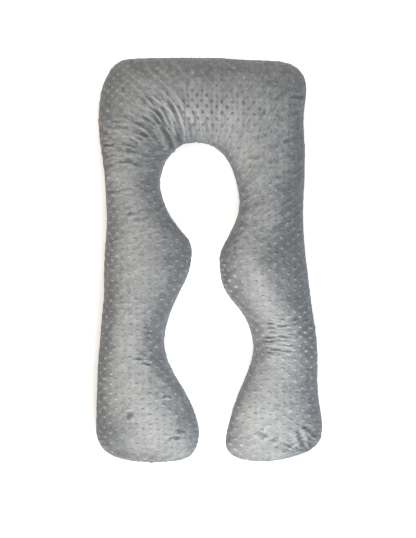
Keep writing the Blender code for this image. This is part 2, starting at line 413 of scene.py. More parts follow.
def build_cover():
    """Return the cover as a new object with its UV maps and attributes."""
    here = np.arange(grid.shape[0] * around).reshape(-1, around)
    beside = np.roll(here, -1, axis=1)
    faces = np.stack((here[:-1], beside[:-1], beside[1:], here[1:]), axis=2).reshape(-1, 4)
    mesh = bpy.data.meshes.new("pillow_cover")
    mesh.from_pydata(grid.reshape(-1, 3).tolist(), [], faces.tolist())
    panel = corner_values(face_flat, under_flat)
    tube = corner_values(tube_place(face_outward), tube_place(under_outward))
    for name, values in (("panel", panel), ("tube", tube)):
        mesh.uv_layers.new(name=name).data.foreach_set("uv", values.ravel())
    face_edge = np.minimum(face_walk, face_walk[:, -1:] - face_walk)[:, :-1]
    under_edge = np.minimum(under_walk, under_walk[:, -1:] - under_walk)[:, :-1]
    upper = np.concatenate((np.ones_like(face_edge), np.zeros_like(under_edge)), axis=1)
    upper[:, (0, FACE_STEPS)] = 0.5
    edge = np.concatenate((face_edge, under_edge), axis=1)
    outward = np.concatenate((face_outward[:, :-1], under_outward[:, :-1]), axis=1)
    half_walk = np.maximum(face_walk[:, -1:] / 2, TINY)
    across_share = np.clip(outward / half_walk, -1, 1)
    place = np.stack((*tube_place(outward).transpose(2, 0, 1), across_share), axis=-1)
    ribs_at = np.broadcast_to(ring_numbers[:, None], outward.shape)
    spare = np.broadcast_to(spare_length()[:, None], grid.shape)
    across_ring = (outer_edge - inner_edge) / (2 * half_width[:, None])
    across_ring = np.column_stack((across_ring, np.zeros(len(across_ring))))
    sideways = np.broadcast_to(across_ring[:, None], grid.shape)
    for name, values in (("edge", edge), ("upper", upper), ("rib", ribs_at)):
        attribute = mesh.attributes.new(name, "FLOAT", "POINT")
        attribute.data.foreach_set("value", values.astype(np.float32).ravel())
    for name, values in (("place", place), ("spare", spare), ("sideways", sideways)):
        attribute = mesh.attributes.new(name, "FLOAT_VECTOR", "POINT")
        attribute.data.foreach_set("vector", values.astype(np.float32).ravel())
    shape = bmesh.new()
    shape.from_mesh(mesh)
    bmesh.ops.remove_doubles(shape, verts=shape.verts, dist=TINY)
    shape.to_mesh(mesh)
    shape.free()
    mesh.shade_smooth()
    cover = bpy.data.objects.new("pillow_cover", mesh)
    bpy.context.scene.collection.objects.link(cover)
    return cover


cover = build_cover()
shape = bmesh.new()
shape.from_mesh(cover.data)
print("cover:", len(shape.verts), "points, volume", round(shape.calc_volume(signed=True), 4), "cubic metres")
shape.free()

# %% [markdown]
# ## Fill it as cloth
# A cushion keeps its shape because its filling pushes the cover out against
# the seams. Blender's cloth simulation does the same with air pressure. The
# seams and the flat underside are held. The rest shape is a few per cent
# longer along the tube than the pillow is, and that spare length gathers into
# soft ripples across it. No point may move further than a set distance, so the
# outline stays true.

# %% Cloth simulation
PRESSURE = 4.0
CLOTH_FRAMES = 20
MOST_MOVE = 7 * MM
HOLD_REACH = 14 * MM


def read_points(mesh):
    """Return a mesh's points as an array."""
    points = np.empty(len(mesh.vertices) * 3)
    mesh.vertices.foreach_get("co", points)
    return points.reshape(-1, 3)


def read_attribute(mesh, name, width=1):
    """Return a stored attribute as an array."""
    values = np.empty(len(mesh.vertices) * width, dtype=np.float32)
    mesh.attributes[name].data.foreach_get("value" if width == 1 else "vector", values)
    return values.astype(float) if width == 1 else values.reshape(-1, width).astype(float)


def add_key(thing, name, points):
    """Store points as a shape key."""
    key = thing.shape_key_add(name=name, from_mix=False)
    key.data.foreach_set("co", points.astype(np.float32).ravel())
    return key


def fill_as_cloth(thing):
    """Swell the cover with pressure and return how far each point moved."""
    points = read_points(thing.data)
    held = thing.vertex_groups.new(name="held")
    near_seam = 1 - smooth_step(read_attribute(thing.data, "edge") / HOLD_REACH)
    near_floor = 1 - smooth_step((points[:, 2] - CONTACT_LIFT) / HOLD_REACH)
    for index, weight in enumerate(np.maximum(near_seam, near_floor)):
        held.add([index], weight, "REPLACE")
    add_key(thing, "Basis", points)
    longer = add_key(thing, "longer", points + read_attribute(thing.data, "spare", 3))
    settings = thing.modifiers.new("cloth", "CLOTH").settings
    settings.quality = 5
    settings.mass = 0.3
    settings.tension_stiffness = 15
    settings.compression_stiffness = 15
    settings.shear_stiffness = 5
    settings.bending_stiffness = 0.3
    settings.vertex_group_mass = held.name
    settings.rest_shape_key = longer
    settings.use_pressure = True
    settings.uniform_pressure_force = PRESSURE
    settings.effector_weights.gravity = 0
    for number in range(1, CLOTH_FRAMES + 1):
        bpy.context.scene.frame_set(number)
    filled = thing.evaluated_get(bpy.context.evaluated_depsgraph_get())
    move = read_points(filled.data) - points
    thing.modifiers.clear()
    thing.shape_key_clear()
    thing.vertex_groups.clear()
    bpy.context.scene.frame_set(1)
    return points, move


def cap_moves(move):
    """Shorten the long moves so that none passes the limit."""
    length = np.maximum(np.linalg.norm(move, axis=1, keepdims=True), 1e-9)
    return move / length * MOST_MOVE * np.tanh(length / MOST_MOVE)


def write_points(mesh, points):
    """Put an array of points back in a mesh, none of them below the surface it lies on."""
    placed = points.copy()
    placed[:, 2] = np.maximum(placed[:, 2], 0)
    mesh.vertices.foreach_set("co", placed.astype(np.float32).ravel())
    mesh.update()


start_points, cloth_move = fill_as_cloth(cover)
capped = cap_moves(cloth_move)
write_points(cover.data, start_points + capped)
print("cloth moved up to", round(np.linalg.norm(cloth_move, axis=1).max() / MM, 1), "mm, kept",
      round(np.linalg.norm(capped, axis=1).max() / MM, 1), "mm")

# %% [markdown]
# ## A finer cover
# One level of subdivision rounds off the simulation's small angles and gives
# enough points to press creases into.

# %% Subdivide
def applied(thing):
    """Apply an object's modifiers to its mesh."""
    graph = bpy.context.evaluated_depsgraph_get()
    old = thing.data
    thing.data = bpy.data.meshes.new_from_object(thing.evaluated_get(graph))
    thing.modifiers.clear()
    bpy.data.meshes.remove(old)


finer = cover.modifiers.new("finer", "SUBSURF")
finer.levels = 1
finer.render_levels = 1
applied(cover)
cover.data.name = "pillow_cover"
print("finer cover:", len(cover.data.polygons), "faces")

# %% [markdown]
# ## Creases
# The creases that can be told apart in the picture are placed one by one. Each
# is a soft trough between two lips. It runs from a start to an end in plan,
# with a bow to one side, and fades out at both ends. A negative depth turns it
# round, into a raised ridge. Where the plush has many short folds that nobody
# could tell apart, one row of a second table scatters a whole family of them.
# Both tables are in millimetres, apart from a family's count and its slope.

# %% Crease tables
Crease = namedtuple("Crease", "start_x start_y end_x end_y bow depth half_width")
CREASES = (
    # the fan above the open neck: its troughs
    Crease(-146, 547, -86, 402, 9, 9.0, 5),
    Crease(-118, 478, -100, 384, 5, 9.0, 7),
    Crease(-168, 524, -122, 430, 7, 8.0, 5),
    Crease(-182, 500, -148, 445, 6, 6.0, 5),
    Crease(-170, 478, -128, 372, 7, 12.0, 8),
    Crease(-190, 486, -166, 450, 3, 4.0, 4),
    Crease(-205, 540, -174, 510, 3, 3.0, 4),
    Crease(-84, 548, -80, 450, 1, 7.0, 4),
    Crease(-72, 478, -58, 402, 2, 6.0, 5),
    Crease(-48, 506, -46, 440, 0, 5.0, 4),
    Crease(-102, 518, -92, 476, 1, 5.0, 4),
    Crease(-234, 488, -196, 450, 4, 6.0, 5),
    Crease(-258, 434, -202, 408, 3, 6.0, 5),
    Crease(-217, 442, -160, 384, 4, 5.0, 5),
    # the fan's ridges
    Crease(-206, 506, -158, 448, 10, -8.0, 4),
    Crease(-164, 462, -112, 382, 5, -12.0, 5),
    Crease(-143, 498, -116, 420, 4, -6.0, 4),
    Crease(-138, 512, -108, 450, 3, -6.0, 4),
    Crease(-106, 490, -80, 400, 5, -8.0, 5),
    Crease(-202, 551, -158, 516, 3, -4.5, 4),
    Crease(-230, 554, -190, 510, 5, -4.0, 4),
    Crease(-264, 458, -188, 412, 5, -6.0, 5),
    Crease(-268, 424, -224, 393, -4, -7.0, 5),
    Crease(-218, 472, -176, 430, 4, -4.0, 4),
    Crease(-244, 520, -208, 496, 3, -3.5, 4),
    # the left leg and the left foot
    Crease(-294, 340, -234, 315, 4, 5.0, 6),
    Crease(-364, 389, -322, 388, 0, 5.0, 4),
    Crease(-280, 149, -255, 161, 0, 5.0, 5),
    Crease(-259, 134, -236, 137, 0, 6.0, 5),
    Crease(-225, -233, -204, -244, 0, -6.0, 4),
    Crease(-214, -251, -193, -261, 0, -7.0, 4),
    Crease(-260, -332, -222, -336, 0, 6.0, 4),
    Crease(-238, -322, -214, -331, 0, -5.0, 4),
    Crease(-230, -346, -194, -357, 0, 6.0, 4),
    Crease(-160, -478, -128, -476, 8, -5.0, 4),
    Crease(-285, -527, -251, -519, 0, 10.0, 8),
    Crease(-118, -579, -74, -587, 2, 5.0, 5),
    Crease(-148, -622, -118, -604, 3, 4.0, 5),
    Crease(-116, -607, -96, -600, 0, 7.0, 5),
    # the right corner
    Crease(262, 552, 332, 556, -5, 5.0, 5),
    # the right foot
    Crease(292, -572, 322, -646, 4, 12.0, 7),
    Crease(322, -610, 350, -630, 0, 7.0, 4),
    Crease(320, -624, 352, -650, 0, -7.0, 4),
    Crease(336, -596, 364, -614, 0, -7.0, 4),
    Crease(274, -590, 292, -640, 3, -4.0, 4),
    Crease(158, -578, 194, -606, 2, 8.0, 7),
    Crease(196, -586, 207, -618, 0, 7.0, 4),
    Crease(219, -594, 229, -634, 0, 8.0, 4),
    Crease(236, -610, 268, -631, -2, 8.0, 4),
    Crease(260, -636, 294, -621, 0, 7.0, 4),
    Crease(254, -640, 275, -654, 0, 7.0, 4),
    Crease(286, -634, 320, -653, 0, 7.0, 4),
    Crease(312, -566, 350, -586, 3, 5.0, 5),
)

Family = namedtuple("Family", "left right top bottom count length bow slope depth half_width")
FAMILIES = (
    # across the left shoulder and the left leg
    Family(-366, -238, 480, 340, 14, 72, 5, -0.10, 1.9, 4.5),
    Family(-360, -225, 335, 215, 12, 40, 2, 0.05, 1.8, 4.5),
    Family(-350, -180, 205, 40, 12, 34, 2, 0.30, 1.4, 4.5),
    Family(-350, -190, -140, -340, 14, 30, 2, 0.10, 1.4, 4.5),
    # across the right shoulder and the right leg
    Family(120, 315, 500, 395, 14, 55, 0, 0.30, 2.2, 4.5),
    Family(105, 290, 355, 282, 9, 70, -3, 0.05, 3.2, 5),
    Family(105, 260, 275, 130, 12, 34, -2, 0.10, 1.6, 5),
    Family(182, 296, -200, -320, 20, 48, -2, -0.04, 3.6, 3.2),
)
print("creases:", len(CREASES) + sum(family.count for family in FAMILIES))

# %% [markdown]
# ## Press the creases in
# A family's creases are spread evenly down its box, and chance, with a fixed
# seed, gives each its place across, its length, its slope and its depth. Where
# creases meet, their depths add up, so a soft limit holds the sum. Every crease
# moves points along the surface's own direction.

# %% Press creases
LIP = 0.70
LIP_PLACE = 2.0
FADE = 0.24
ROW_SHIFT = 0.4
SLOPE_SHIFT = 0.08
LENGTH_RANGE = (0.6, 1.4)
DEPTH_RANGE = (0.5, 1.3)
BOW_RANGE = (0.3, 1.5)
FACE_ABOVE = 0.4
FACE_BLEND = 0.3
SEAM_MARGIN = 30 * MM
MOST_PRESSED = 11 * MM


def family_creases(family, chance):
    """Return a family's short creases, spread evenly down it and by chance across it."""
    gap = (family.bottom - family.top) / (family.count - 1)
    creases = []
    for row in range(family.count):
        y = family.top + (row + chance.uniform(-ROW_SHIFT, ROW_SHIFT)) * gap
        half_length = family.length * chance.uniform(*LENGTH_RANGE) / 2
        middle = chance.uniform(family.left + half_length, family.right - half_length)
        tilt = (family.slope + chance.uniform(-SLOPE_SHIFT, SLOPE_SHIFT)) * half_length
        depth = family.depth * chance.uniform(*DEPTH_RANGE)
        bow = family.bow * chance.uniform(*BOW_RANGE)
        start = (middle - half_length, y - tilt)
        end = (middle + half_length, y + tilt)
        creases.append(Crease(*start, *end, bow, depth, family.half_width))
    return creases


def crease_depth(crease, x, y):
    """Return how deep one crease presses each point, lips negative, in metres."""
    start = np.array((crease.start_x, crease.start_y)) * MM
    line = np.array((crease.end_x, crease.end_y)) * MM - start
    length = np.hypot(*line)
    line = line / length
    run = ((x - start[0]) * line[0] + (y - start[1]) * line[1]) / length
    inside = np.clip(run, 0, 1)
    side = (y - start[1]) * line[0] - (x - start[0]) * line[1]
    side = side - crease.bow * MM * 4 * inside * (1 - inside)
    width = crease.half_width * MM
    off = np.abs(side) / width
    fade = smooth_step(run / FADE) * smooth_step((1 - run) / FADE)
    return crease.depth * MM * fade * (np.exp(-off**2) - LIP * np.exp(-((off - LIP_PLACE) ** 2)))


def read_normals(mesh):
    """Return the direction each point faces."""
    normals = np.empty(len(mesh.vertices) * 3)
    mesh.vertex_normals.foreach_get("vector", normals)
    return normals.reshape(-1, 3)


chance = np.random.default_rng(seed=7)
creases = list(CREASES)
for family in FAMILIES:
    creases += family_creases(family, chance)

points = read_points(cover.data)
face_only = smooth_step((read_attribute(cover.data, "upper") - FACE_ABOVE) / FACE_BLEND)
away_from_seam = smooth_step(read_attribute(cover.data, "edge") / SEAM_MARGIN)
pressed = sum(crease_depth(crease, points[:, 0], points[:, 1]) for crease in creases)
pressed = MOST_PRESSED * np.tanh(pressed / MOST_PRESSED) * face_only * away_from_seam
print("deepest trough in mm:", round(pressed.max() / MM, 1), " highest ridge:", round(-pressed.min() / MM, 1))

# %% [markdown]
# ## Ripples and unevenness
# Between the creases the plush ripples across the tube, finer than anyone
# would place by hand. Value noise makes them: random numbers on a lattice with
# a smooth blend between. The lattice is short along the tube and long across
# it. A table says where the ripples are strong, and that strength is kept for
# the material, which streaks the pile there. Wider noise makes the filling
# uneven, and a pucker follows the seam. The table is in millimetres, and the
# lattices are in metres.

# %% Ripples
Ripple = namedtuple("Ripple", "x y reach height")
RIPPLES = (
    Ripple(-150, 470, 110, 3.2),
    Ripple(-300, 380, 110, 2.2),
    Ripple(-290, 110, 150, 0.9),
    Ripple(-230, -672, 90, 1.6),
    Ripple(240, 430, 110, 1.8),
    Ripple(200, 180, 130, 1.9),
    Ripple(250, -250, 100, 1.9),
    Ripple(300, -610, 70, 2.2),
    Ripple(0, 470, 100, 1.2),
)
RIPPLE_BASE = 0.7
Noise = namedtuple("Noise", "height along across seed")
DRIFT = Noise(10 * MM, 0.09, 0.05, 3)
FINE_RIPPLE = Noise(1.0, 0.0070, 0.050, 11)
WIDE_RIPPLE = Noise(0.7, 0.0150, 0.080, 12)
UNEVENNESS = (Noise(1.1, 0.055, 0.05, 21), Noise(0.8, 0.027, 0.03, 22), Noise(0.5, 0.012, 0.02, 23))
PUCKER_HEIGHT = 0.7 * MM
PUCKER_LENGTH = 11 * MM
PUCKER_REACH = 16 * MM
PUCKER_RISE = 30 * MM
LEAST_STREAKS = 0.12
STREAKS_BY_RIPPLE = 0.18
FLOOR_MARGIN = 20 * MM


def noise_at(noise, along, across):
    """Return one kind of noise at places along and across the tube."""
    return noise.height * value_noise(along / noise.along, across / noise.across, noise.seed)


tube_along, tube_across, _ = read_attribute(cover.data, "place", 3).T
drift = noise_at(DRIFT, tube_along, tube_across)
ripple = noise_at(FINE_RIPPLE, tube_along + drift, tube_across)
ripple = ripple + noise_at(WIDE_RIPPLE, tube_along - drift, tube_across)
strength = np.full(len(points), RIPPLE_BASE)
for row in RIPPLES:
    away = np.hypot(points[:, 0] - row.x * MM, points[:, 1] - row.y * MM) / (row.reach * MM)
    strength = strength + (row.height - RIPPLE_BASE) * np.exp(-away**2)
uneven = sum(noise_at(noise, tube_along, tube_across) for noise in UNEVENNESS)
pucker_side = np.sign(tube_across) + 2 * (face_only > 0.5)
pucker = PUCKER_HEIGHT * value_noise(tube_along / PUCKER_LENGTH, pucker_side, seed=31)
off_floor = smooth_step(points[:, 2] / PUCKER_RISE)
near_seam = np.exp(-read_attribute(cover.data, "edge") / PUCKER_REACH) * off_floor
raised = (ripple * strength + uneven) * away_from_seam * MM + pucker * near_seam
hollow = pressed / MM - ripple * strength * away_from_seam
rippled = LEAST_STREAKS + STREAKS_BY_RIPPLE * (strength - RIPPLE_BASE)
smooth_normals = read_normals(cover.data)
clear_of_floor = smooth_step(points[:, 2] / FLOOR_MARGIN)
points = points + smooth_normals * ((raised - pressed) * clear_of_floor)[:, None]
write_points(cover.data, points)
print("ripples in mm: from", round(raised.min() / MM, 1), "to", round(raised.max() / MM, 1))

# %% [markdown]
# ## One dot
# Each dot of the plush is a low round dome, about 10 mm across and 3 mm high.
# A short table of rings gives its profile: a share of the radius, and a height
# as a share of the dome's. A pole closes it at both ends, so it can sink a
# little into the cover without a gap.

# %% Dot shape
DOT_RADIUS = 5.4 * MM
DOT_HEIGHT = 3.1 * MM
DOT_SEGMENTS = 10
DOT_RINGS = ((1.0, -0.25), (0.88, 0.45), (0.55, 0.88))
DOT_SINK = 0.5 * DOT_HEIGHT


def dot_shape():
    """Return one closed dome as a mesh object."""
    shape = bmesh.new()
    rings = []
    for share, lift in DOT_RINGS:
        ring = []
        for step in range(DOT_SEGMENTS):
            angle = 2 * math.pi * step / DOT_SEGMENTS
            x = share * DOT_RADIUS * math.cos(angle)
            y = share * DOT_RADIUS * math.sin(angle)
            ring.append(shape.verts.new((x, y, lift * DOT_HEIGHT)))
        rings.append(ring)
    top = shape.verts.new((0, 0, DOT_HEIGHT))
    bottom = shape.verts.new((0, 0, -DOT_SINK))
    for step in range(DOT_SEGMENTS):
        after = (step + 1) % DOT_SEGMENTS
        for low, high in zip(rings, rings[1:]):
            shape.faces.new((low[step], low[after], high[after], high[step]))
        shape.faces.new((rings[-1][step], rings[-1][after], top))
        shape.faces.new((rings[0][after], rings[0][step], bottom))
    mesh = bpy.data.meshes.new("dot_shape")
    shape.to_mesh(mesh)
    shape.free()
    mesh.shade_smooth()
    thing = bpy.data.objects.new("dot_shape", mesh)
    bpy.context.scene.collection.objects.link(thing)
    return thing


one_dot = dot_shape()
print("faces of one dot:", len(one_dot.data.polygons))

# %% [markdown]
# ## All the dots
# Geometry Nodes lays the dots out. Two even grids, the second shifted by half
# a pitch, make the staggered rows of the flat cloth. Sample UV Surface finds
# where each flat place lies on the stuffed cover. Places off the pattern or
# too near the seam are dropped, and the rest each get a dome that stands on
# the surface. The domes are drawn out across the tube, as the filling stretches
# the plush that way, and they are low beside the seam, where it is taut. The
# same group serves the face and the underside.

# %% Dot layout group
DOT_PITCH_ACROSS = 0.0465
DOT_PITCH_ALONG = 0.0347
DOT_COLUMNS = 28
DOT_ROWS = 46
DOT_JITTER = 1.0 * MM
SMALLEST_DOT = 0.86
LARGEST_DOT = 1.08
DOT_STRETCH = 1.40
SEAM_CLEARANCE = 12 * MM
TAUT_REACH = 70 * MM
TAUT_HEIGHT = 0.12
OUT_OF_REACH = 10.0


def node(tree, kind, *links, **settings):
    """Add a node, set its options, and link or set its inputs given by number or name."""
    made = tree.nodes.new(kind)
    for name, value in settings.items():
        setattr(made, name, value)
    for name, value in links:
        if isinstance(value, bpy.types.NodeSocket):
            tree.links.new(value, made.inputs[name])
        else:
            made.inputs[name].default_value = value
    return made


def result_of(tree, kind, *links, **settings):
    """Add a node and return its first output."""
    return node(tree, kind, *links, **settings).outputs[0]


def start_group(name, kind, inputs, outputs):
    """Start a node group. Return it with the sockets that feed it and the sockets it feeds."""
    tree = bpy.data.node_groups.new(name, kind)
    for label, socket_kind, value in inputs:
        socket = tree.interface.new_socket(label, in_out="INPUT", socket_type="NodeSocket" + socket_kind)
        if value is not None:
            socket.default_value = value
    for label, socket_kind in outputs:
        tree.interface.new_socket(label, in_out="OUTPUT", socket_type="NodeSocket" + socket_kind)
    return tree, tree.nodes.new("NodeGroupInput").outputs, tree.nodes.new("NodeGroupOutput").inputs


def dot_layout_group():
    """Return the node group that stands dots on a cover."""
    inputs = (
        ("Cover", "Geometry", None),
        ("Dot", "Object", None),
        ("Material", "Material", None),
        ("Pitch Across", "Float", DOT_PITCH_ACROSS),
        ("Pitch Along", "Float", DOT_PITCH_ALONG),
        ("Panel Offset", "Float", 0.0),
        ("Seam Clearance", "Float", SEAM_CLEARANCE),
        ("Jitter", "Float", DOT_JITTER),
        ("Seed", "Int", 0),
    )
    tree, given, result = start_group("dot_layout", "GeometryNodeTree", inputs, (("Dots", "Geometry"),))

    def make(kind, *links, **settings):
        return result_of(tree, kind, *links, **settings)

    def times(value, factor):
        return make("ShaderNodeMath", (0, value), (1, factor), operation="MULTIPLY")

    def keep(geometry, name, value, kind):
        return make(
            "GeometryNodeStoreNamedAttribute",
            ("Geometry", geometry),
            ("Name", name),
            ("Value", value),
            data_type=kind,
        )

    def kept_value(name, kind):
        named = node(tree, "GeometryNodeInputNamedAttribute", ("Name", name), data_type=kind)
        return named.outputs["Attribute"]

    def on_cover(value, kind):
        return node(
            tree,
            "GeometryNodeSampleUVSurface",
            ("Mesh", given["Cover"]),
            ("Value", value),
            ("UV Map", kept_value("panel", "FLOAT_VECTOR")),
            ("Sample UV", kept_value("flat", "FLOAT_VECTOR")),
            data_type=kind,
        ).outputs

    # the staggered rows, shaken a little, as places on the flat pattern
    even = make(
        "GeometryNodeMeshGrid",
        ("Size X", times(given["Pitch Across"], DOT_COLUMNS - 1)),
        ("Size Y", times(given["Pitch Along"], DOT_ROWS - 1)),
        ("Vertices X", DOT_COLUMNS),
        ("Vertices Y", DOT_ROWS),
    )
    half_across = times(given["Pitch Across"], 0.5)
    half_along = times(given["Pitch Along"], 0.5)
    half = make("ShaderNodeCombineXYZ", ("X", half_across), ("Y", half_along))
    shifted = make("GeometryNodeTransform", ("Geometry", even), ("Translation", half))
    both = make("GeometryNodeJoinGeometry", ("Geometry", even), ("Geometry", shifted))
    panel = make("ShaderNodeCombineXYZ", ("X", given["Panel Offset"]))
    moved = make("GeometryNodeTransform", ("Geometry", both), ("Translation", panel))
    here = make("GeometryNodeInputPosition")
    jitter = ("Scale", given["Jitter"])
    least = make("ShaderNodeVectorMath", (0, (-1, -1, 0)), jitter, operation="SCALE")
    most = make("ShaderNodeVectorMath", (0, (1, 1, 0)), jitter, operation="SCALE")
    seed = ("Seed", given["Seed"])
    shake = make("FunctionNodeRandomValue", (0, least), (1, most), seed, data_type="FLOAT_VECTOR")
    flat = make("ShaderNodeVectorMath", (0, here), (1, shake), operation="ADD")
    dots = keep(moved, "flat", flat, "FLOAT_VECTOR")

    # each place found on the stuffed cover, and the ones off it dropped
    position = on_cover(here, "FLOAT_VECTOR")
    normal = on_cover(make("GeometryNodeInputNormal"), "FLOAT_VECTOR")
    edge = on_cover(kept_value("edge", "FLOAT"), "FLOAT")
    limits = (("A", edge["Value"]), ("B", given["Seam Clearance"]))
    far_enough = make("FunctionNodeCompare", *limits, operation="GREATER_THAN")
    sides = ((0, position["Is Valid"]), (1, far_enough))
    wanted = make("FunctionNodeBooleanMath", *sides, operation="AND")
    unwanted = make("FunctionNodeBooleanMath", (0, wanted), operation="NOT")
    dots = keep(dots, "facing", normal["Value"], "FLOAT_VECTOR")
    dots = keep(dots, "from_seam", edge["Value"], "FLOAT")
    dots = make("GeometryNodeDeleteGeometry", ("Geometry", dots), ("Selection", unwanted))
    dots = make("GeometryNodeSetPosition", ("Geometry", dots), ("Position", position["Value"]))

    # a dome on each, upright on the surface and long across the tube
    facing = kept_value("facing", "FLOAT_VECTOR")
    upright = make("FunctionNodeAlignRotationToVector", ("Vector", facing), axis="Z")
    sideways = on_cover(kept_value("sideways", "FLOAT_VECTOR"), "FLOAT_VECTOR")
    turned = make(
        "FunctionNodeAlignRotationToVector",
        ("Rotation", upright),
        ("Vector", sideways["Value"]),
        axis="X",
        pivot_axis="Z",
    )
    sizes = ((2, SMALLEST_DOT), (3, LARGEST_DOT))
    size = node(tree, "FunctionNodeRandomValue", *sizes, seed, data_type="FLOAT").outputs[1]
    taut = make(
        "ShaderNodeMapRange",
        ("Value", kept_value("from_seam", "FLOAT")),
        ("From Min", SEAM_CLEARANCE),
        ("From Max", TAUT_REACH),
        ("To Min", TAUT_HEIGHT),
        ("To Max", 1.0),
    )
    wide = times(size, DOT_STRETCH)
    tall = times(size, taut)
    scale = make("ShaderNodeCombineXYZ", ("X", wide), ("Y", size), ("Z", tall))
    one = node(tree, "GeometryNodeObjectInfo", ("Object", given["Dot"])).outputs["Geometry"]
    dots = make(
        "GeometryNodeInstanceOnPoints",
        ("Points", dots),
        ("Instance", one),
        ("Rotation", turned),
        ("Scale", scale),
    )
    dots = make("GeometryNodeRealizeInstances", ("Geometry", dots))
    lowest = (-OUT_OF_REACH, -OUT_OF_REACH, 0)
    above_floor = make("ShaderNodeVectorMath", (0, here), (1, lowest), operation="MAXIMUM")
    dots = make("GeometryNodeSetPosition", ("Geometry", dots), ("Position", above_floor))
    dots = make("GeometryNodeSetMaterial", ("Geometry", dots), ("Material", given["Material"]))
    tree.links.new(dots, result["Dots"])
    return tree


dot_layout = dot_layout_group()
print("nodes in the dot layout:", len(dot_layout.nodes))

# %% [markdown]
# ## The look of plush
# Plush has three scales. Its pile is a fine fuzz, a few millimetres wide. Over
# that lie patches where the pile leans one way or another, so they look
# lighter or darker, and where the cover ripples they become streaks across the
# tube. And round each dot lies a ring of painted shade. Each is a small node group.

# %% Shader groups
STREAK_SCALE = (160.0, 34.0, 1.0)
CLOUD_SCALE = 62.0
DOT_MIDDLES = ((0.0, 0.5, 0.0), (0.5, 0.0, 0.0))


def pile_group():
    """Fine fuzz: a height from one fine noise."""
    inputs = (("Vector", "Vector", None), ("Size", "Float", 0.003))
    tree, given, result = start_group("plush_pile", "ShaderNodeTree", inputs, (("Height", "Float"),))
    scale = result_of(tree, "ShaderNodeMath", (0, 1.0), (1, given["Size"]), operation="DIVIDE")
    place = (("Vector", given["Vector"]), ("Scale", scale))
    fine = result_of(tree, "ShaderNodeTexNoise", *place, ("Detail", 3.0), ("Roughness", 0.65))
    tree.links.new(fine, result["Height"])
    return tree


def lean_group():
    """How the pile leans: a value round 0.5, in clouds or in streaks across the tube."""
    inputs = (("Place", "Vector", None), ("Vector", "Vector", None), ("Streaks", "Float", 0.5))
    tree, given, result = start_group("plush_lean", "ShaderNodeTree", inputs, (("Lean", "Float"),))
    stretch = result_of(
        tree, "ShaderNodeVectorMath", (0, given["Place"]), (1, STREAK_SCALE), operation="MULTIPLY"
    )
    place = (("Vector", stretch), ("Scale", 1.0))
    streak = result_of(tree, "ShaderNodeTexNoise", *place, ("Detail", 3.0), ("Roughness", 0.6))
    cloud = result_of(
        tree,
        "ShaderNodeTexNoise",
        ("Vector", given["Vector"]),
        ("Scale", CLOUD_SCALE),
        ("Detail", 4.0),
        ("Roughness", 0.66),
        ("Distortion", 0.3),
    )
    ends = ((0, given["Streaks"]), (2, cloud), (3, streak))
    mixed = result_of(tree, "ShaderNodeMix", *ends, data_type="FLOAT")
    tree.links.new(mixed, result["Lean"])
    return tree


def dot_ring_group():
    """Distance to the nearest dot on the flat cloth, as a soft ring mask."""
    inputs = (
        ("Flat", "Vector", None),
        ("Pitch Across", "Float", DOT_PITCH_ACROSS),
        ("Pitch Along", "Float", DOT_PITCH_ALONG),
        ("Radius", "Float", 0.009),
    )
    tree, given, result = start_group("plush_parting", "ShaderNodeTree", inputs, (("Near Dot", "Float"),))

    def vector(operation, first, *second):
        links = [(0, first)] + [(1, value) for value in second]
        return node(tree, "ShaderNodeVectorMath", *links, operation=operation).outputs

    sides = (("X", given["Pitch Across"]), ("Y", given["Pitch Along"]), ("Z", 1.0))
    pitch = result_of(tree, "ShaderNodeCombineXYZ", *sides)
    cells = vector("DIVIDE", given["Flat"], pitch)[0]
    distances = []
    for shift in DOT_MIDDLES:
        moved = vector("ADD", cells, shift)[0]
        part = vector("FRACTION", moved)[0]
        off_middle = vector("SUBTRACT", part, (0.5, 0.5, 0.0))[0]
        in_plan = vector("MULTIPLY", off_middle, (1.0, 1.0, 0.0))[0]
        real = vector("MULTIPLY", in_plan, pitch)[0]
        distances.append(vector("LENGTH", real)["Value"])
    nearest = result_of(
        tree, "ShaderNodeMath", (0, distances[0]), (1, distances[1]), operation="MINIMUM"
    )
    reach = (("From Min", given["Radius"]), ("From Max", 0.004))
    mask = result_of(
        tree, "ShaderNodeMapRange", ("Value", nearest), *reach, interpolation_type="SMOOTHSTEP"
    )
    tree.links.new(mask, result["Near Dot"])
    return tree


pile = pile_group()
lean = lean_group()
dot_ring = dot_ring_group()
print("shader groups:", pile.name, lean.name, dot_ring.name)
